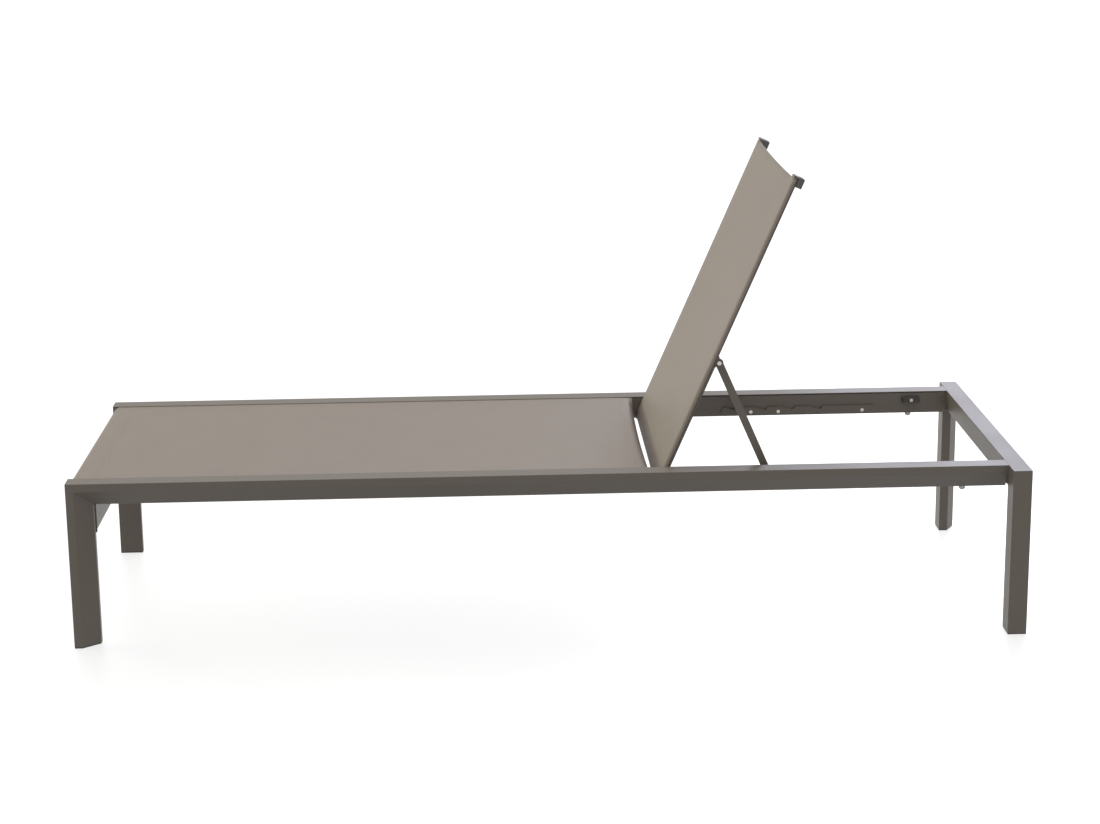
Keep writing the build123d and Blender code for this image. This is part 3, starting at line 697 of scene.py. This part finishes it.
def weldTube(nodeName, place, body, wall=None, square=False, bare=False):
    # one bead at each end of the tube; a bare one stops short of the top
    kit = welds
    low, high = spanOf(nodeName, place)
    wall = wall or high.y
    corner = kit["corner"] * mm if square else (high.x - low.x) / 2
    path = tubeOutline(Vector((low.x, low.z)), Vector((high.x, high.z)), corner)
    if bare:
        path = [(spot, normal) for spot, normal in path if normal.y < math.cos(math.radians(kit["bareDeg"]))]
    section = beadSection()
    wide, last = len(section), len(path) - 1
    points, faces = [], []
    for side in (-1, 1):
        base = len(points)
        run = 0.0
        for i, (spot, normal) in enumerate(path):
            run += (spot - path[i - 1][0]).length if i else 0.0
            swell = 1 + kit["ripple"] / kit["leg"] * abs(math.sin(math.pi * run / (kit["scallop"] * mm)))
            if bare:
                grown = min(i, last - i) / kit["taperRings"]
                swell *= min(1, kit["endShare"] + (1 - kit["endShare"]) * grown)
            for out, inward in section:
                flat = spot + normal * (out if out < 0 else out * swell)
                y = side * (wall - (inward if inward < 0 else inward * swell))
                points.append(place @ Vector((flat.x, y, flat.y)))
        for i in range(last if bare else last + 1):
            ring, nextRing = base + i * wide, base + (i + 1) % len(path) * wide
            for j in range(wide):
                k = (j + 1) % wide
                faces.append([ring + j, nextRing + j, nextRing + k, ring + k][::-side])
        if bare:
            faces.append([base + j for j in range(wide)][::side])
            faces.append([base + last * wide + j for j in range(wide)][::-side])
    slotName = "frame_aluminium"
    addMesh(nodeName + "_weld", points, faces, finishes[slotName], body, kit["sharpDeg"])


for nodeName in ("foot_brace", "seat_spreader", "seat_end_spreader"):
    weldTube(nodeName, seatPlace, "frame", square=True)
for nodeName in ("back_lower_bar", "back_top_bar"):
    weldTube(nodeName, backPlace, "backrest", bare=True)
weldTube("prop_bar", seatPlace, "prop", wall=-spanOf("prop_leg_left", seatPlace)[1].y)
print("welds laid on the cross tubes")


# bolts, pins and screws with socket heads

headShape = {
    "sides": 36,
    "socketShare": 0.5,        # across the socket's corners, as a share of the head
    "socketDepthShare": 0.62,  # of the head's height
    "bevelShare": 0.3,         # of the head's height
    "roundShare": 0.3,         # where the middle ring of the rounded bevel lies, as a share of it
    "rim": 0.25,
    "sharpDeg": 28,
    "gap": 20,                 # fasteners in one CAD node are further apart than this
}
fasteners = {
    # head height, shank radius, and the height and radius of a nut at the far end; a sunk head is a cone
    "hinge_bolt_left": {"head": 4, "shank": 4, "body": "frame"},
    "hinge_bolt_right": {"head": 4, "shank": 4, "body": "frame"},
    "prop_pin_left": {"head": 4, "shank": 3, "nut": (3.5, 5), "body": "backrest"},
    "prop_pin_right": {"head": 4, "shank": 3, "nut": (3.5, 5), "body": "backrest"},
    "rack_screws": {"head": 2.4, "shank": 2, "sunk": True, "body": "frame"},
    "stop_screws": {"head": 2.4, "shank": 2, "sunk": True, "body": "frame"},
}


def fastenerPlaces(nodeName):
    # side, centre, head radius, and how far out head and tail of each fastener in the node lie
    found = []
    for side in (-1, 1):
        corners = [v.co for v in frame["nodes"][nodeName].data.vertices if v.co.y * side > 0]
        corners.sort(key=lambda corner: corner.x)
        groups = []
        for corner in corners:
            if not groups or corner.x - groups[-1][-1].x > headShape["gap"] * mm:
                groups.append([])
            groups[-1].append(corner)
        for group in groups:
            low, high = group[0].x, group[-1].x
            heights = [corner.z for corner in group]
            reaches = [abs(corner.y) for corner in group]
            centre = Vector(((low + high) / 2, 0, (min(heights) + max(heights)) / 2))
            found.append((side, centre, (high - low) / 2, min(reaches), max(reaches)))
    return found


def headRings(kit, radius, length):
    # from the socket out to the tail: depth below the head's top, radius, and whether the ring is a hexagon
    shape = headShape
    head, shank = kit["head"] * mm, kit["shank"] * mm
    socket, rim = shape["socketShare"] * radius, shape["rim"] * mm
    deep = shape["socketDepthShare"] * head
    rings = [(deep, socket, True), (rim, socket, True), (0, socket + rim, True)]
    if kit.get("sunk"):
        rings += [(0, radius - rim / 2, False), (rim / 2, radius, False), (head, shank, False)]
    else:
        bevel = shape["bevelShare"] * head
        inset = shape["roundShare"] * bevel
        rings += [(0, radius - bevel, False), (inset, radius - inset, False), (bevel, radius, False)]
        rings += [(head - rim, radius, False), (head, radius - rim, False), (head, shank, False)]
    if "nut" in kit:
        nutHeight, nutRadius = (size * mm for size in kit["nut"])
        nutTop = length - nutHeight
        rings += [(nutTop, shank, False), (nutTop, nutRadius, True), (length, nutRadius, True)]
    else:
        rings += [(length - rim, shank, False), (length, shank - rim, False)]
    return rings


def makeFastener(nodeName, kit):
    sides = headShape["sides"]
    halfFlat = math.pi / 6  # half of a hexagon's side, seen from its middle
    points, faces = [], []
    for side, centre, radius, top, tail in fastenerPlaces(nodeName):
        base = len(points)
        rings = headRings(kit, radius, tail - top)
        for depth, ringRadius, hexagon in rings:
            for i in range(sides):
                turn = math.tau * i / sides
                reach = math.cos(halfFlat) / math.cos(turn % (2 * halfFlat) - halfFlat) if hexagon else 1
                x, z = ringRadius * reach * math.cos(turn), ringRadius * reach * math.sin(turn)
                points.append(centre + Vector((x, side * (top + depth), z)))
        for ring in range(len(rings) - 1):
            for i in range(sides):
                j = (i + 1) % sides
                low, high = base + ring * sides, base + (ring + 1) * sides
                faces.append([low + i, low + j, high + j, high + i][::-side])
        faces.append([base + i for i in range(sides)][::side])
        faces.append([base + (len(rings) - 1) * sides + i for i in range(sides)][::-side])
    name = nodeName + "_socketHead"
    piece = addMesh(name, points, faces, finishes["steel"], kit["body"], headShape["sharpDeg"])
    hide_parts(nodeName)


for nodeName, kit in fasteners.items():
    makeFastener(nodeName, kit)
print("fasteners made:", len(fasteners))


# camera, fitted to the corners of the frame in the photograph

viewpoint = {
    "place": (-0.1341, -4.4448, 1.6739),  # metres
    "yawDeg": -1.919,
    "pitchDeg": 12.626,
    "rollDeg": -0.594,
    "lens": 68.18,
    "imageWidth": 1100,
    "shiftPixels": -120,  # the photograph's upright legs need the optical axis higher than its middle
}


def addCamera():
    kit = viewpoint
    lens = bpy.data.cameras.new("camera")
    lens.lens = kit["lens"]
    lens.shift_y = kit["shiftPixels"] / kit["imageWidth"]
    camera = bpy.data.objects.new("camera", lens)
    scene.collection.objects.link(camera)
    turned = Matrix.Rotation(math.radians(kit["yawDeg"]), 4, "Z")
    tipped = Matrix.Rotation(math.radians(90 - kit["pitchDeg"]), 4, "X")
    rolled = Matrix.Rotation(math.radians(kit["rollDeg"]), 4, "Z")
    camera.matrix_world = Matrix.Translation(kit["place"]) @ turned @ tipped @ rolled
    scene.camera = camera


addCamera()


# floor, world and lamps

studio = {
    "floorSize": 80,      # metres
    "floorColour": "#7d7a76",
    # what the camera sees of the floor: some paint, plain white, and a faint blurred mirror
    "shownColour": "#4f4f4f",
    "shownWhite": 0.77,
    "shownGloss": "#a2a2a2",
    "glossRoughness": 0.5,
    "worldStrength": 0.82,
    "lamps": (
        # name, place, aimed at, size, all in metres, watts, colour
        ("overhead", (0.2, 0.4, 3.2), (0, 0, 0.3), (3.0, 3.0), 32, "#ffffff"),
        ("footSide", (-4.6, 0.9, 1.6), (0.4, 0, 0.5), (2.4, 1.8), 82, "#fffcda"),
        ("behindRight", (2.4, 5.4, 2.55), (0.7, 0, 0.4), (1.8, 1.3), 59, "#e2e6fb"),
    ),
}


def seenDirectly(tree):
    # 1 for the rays that carry the white background to the camera, straight or off a gloss
    rays = addNode(tree, "ShaderNodeLightPath")
    either = rays.outputs["Is Camera Ray"]
    for name in ("Is Glossy Ray", "Is Transmission Ray"):
        either = addNode(tree, "ShaderNodeMath", {
            0: either, 1: rays.outputs[name],
        }, operation="MAXIMUM").outputs[0]
    return either


def addFloor():
    kit = studio
    half = kit["floorSize"] / 2
    corners = [(-half, -half, 0), (half, -half, 0), (half, half, 0), (-half, half, 0)]
    mesh = bpy.data.meshes.new("floor")
    mesh.from_pydata(corners, [], [(0, 1, 2, 3)])
    floor = bpy.data.objects.new("floor", mesh)
    scene.collection.objects.link(floor)
    material, tree = emptyMaterial("paintedFloor")
    shown = seenDirectly(tree)
    paint = addNode(tree, "ShaderNodeMixRGB", {
        "Fac": shown, "Color1": linearColour(kit["floorColour"]), "Color2": linearColour(kit["shownColour"]),
    }).outputs["Color"]
    matt = addNode(tree, "ShaderNodeBsdfDiffuse", {"Color": paint}).outputs["BSDF"]
    white = addNode(tree, "ShaderNodeMath", {0: shown, 1: kit["shownWhite"]}, operation="MULTIPLY").outputs[0]
    glow = addNode(tree, "ShaderNodeEmission", {"Strength": white}).outputs["Emission"]
    gloss = addNode(tree, "ShaderNodeMixRGB", {
        "Fac": shown, "Color1": linearColour("#000000"), "Color2": linearColour(kit["shownGloss"]),
    }).outputs["Color"]
    mirror = addNode(tree, "ShaderNodeBsdfAnisotropic", {
        "Color": gloss, "Roughness": kit["glossRoughness"],
    }).outputs["BSDF"]
    lit = addNode(tree, "ShaderNodeAddShader", {0: matt, 1: mirror}).outputs["Shader"]
    total = addNode(tree, "ShaderNodeAddShader", {0: lit, 1: glow}).outputs["Shader"]
    addNode(tree, "ShaderNodeOutputMaterial", {"Surface": total})
    mesh.materials.append(material)


def addWorld():
    world = bpy.data.worlds.new("studio")
    scene.world = world
    world.use_nodes = True
    tree = world.node_tree
    tree.nodes.clear()
    strength = addNode(tree, "ShaderNodeMapRange", {
        "Value": seenDirectly(tree), "To Min": studio["worldStrength"], "To Max": 1.0,
    }).outputs["Result"]
    light = addNode(tree, "ShaderNodeBackground", {"Strength": strength}).outputs["Background"]
    addNode(tree, "ShaderNodeOutputWorld", {"Surface": light})


def addLamps():
    for name, place, aim, size, watts, colour in studio["lamps"]:
        lamp = bpy.data.lights.new(name, "AREA")
        lamp.shape = "RECTANGLE"
        lamp.size, lamp.size_y = size
        lamp.energy = watts
        lamp.color = linearColour(colour)[:3]
        lampObject = bpy.data.objects.new(name, lamp)
        scene.collection.objects.link(lampObject)
        lampObject.location = place
        lampObject.rotation_euler = (Vector(aim) - Vector(place)).to_track_quat("-Z", "Y").to_euler()


addFloor()
addWorld()
addLamps()
print("camera, floor, world and lamps placed")
